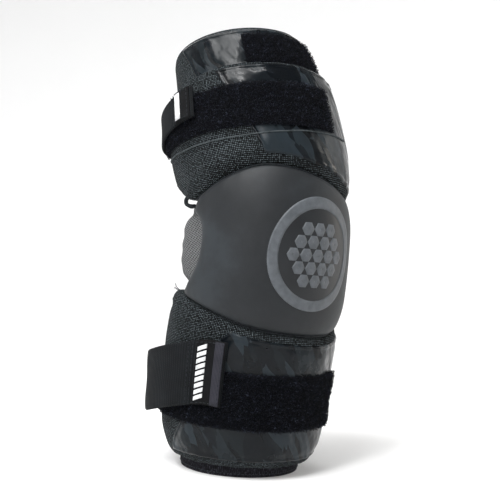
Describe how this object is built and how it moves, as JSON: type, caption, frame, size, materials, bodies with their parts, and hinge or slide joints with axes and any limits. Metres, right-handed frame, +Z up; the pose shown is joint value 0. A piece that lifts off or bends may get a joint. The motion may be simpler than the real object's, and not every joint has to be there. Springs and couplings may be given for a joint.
{
  "type": "lacrosse arm pad",
  "caption": "Padded sleeve for a player's elbow, with domed elbow cap, wrap-round forearm and upper arm guards, bicep flap and hook-and-loop straps, standing on its forearm rim.",
  "frame": {"origin": "under the middle of the whole pad, on the surface it stands on", "axes": "+Z up along the arm from the forearm rim to the bicep flap, -Y towards the point of the elbow, +Y towards the inner elbow"},
  "size_m": [0.1444, 0.1574, 0.3345],
  "materials": {
    "knit": "grey knit mesh with fine holes",
    "heather_binding": "heathered grey ribbed knit",
    "mesh_cloth": "black spacer mesh with a diamond knit",
    "gloss_film": "glossy heat-formed film with tonal angular shards",
    "loop_pile": "fuzzy brushed loop pile",
    "webbing": "woven elastic webbing",
    "strip": "plain dark sewn strip",
    "elbow_shell": "smooth matte foam-backed cover",
    "badge_print": null
  },
  "bodies": {
    "root": {"arm_sleeve": "knit", "wrist_binding": "heather_binding", "forearm_guard": "mesh_cloth", "forearm_film": "gloss_film", "forearm_loop_band": "loop_pile", "forearm_strap": "webbing", "forearm_strap_tab": "strip", "elbow_cap": "elbow_shell", "elbow_badge": "badge_print", "upper_guard": "mesh_cloth", "upper_film": "gloss_film", "upper_loop_band": "loop_pile", "upper_strap": "webbing", "upper_strap_tab": "strip", "bicep_cap": "mesh_cloth", "bicep_film": "gloss_film", "bicep_loop_patch": "loop_pile"}
  },
  "joints": []
}
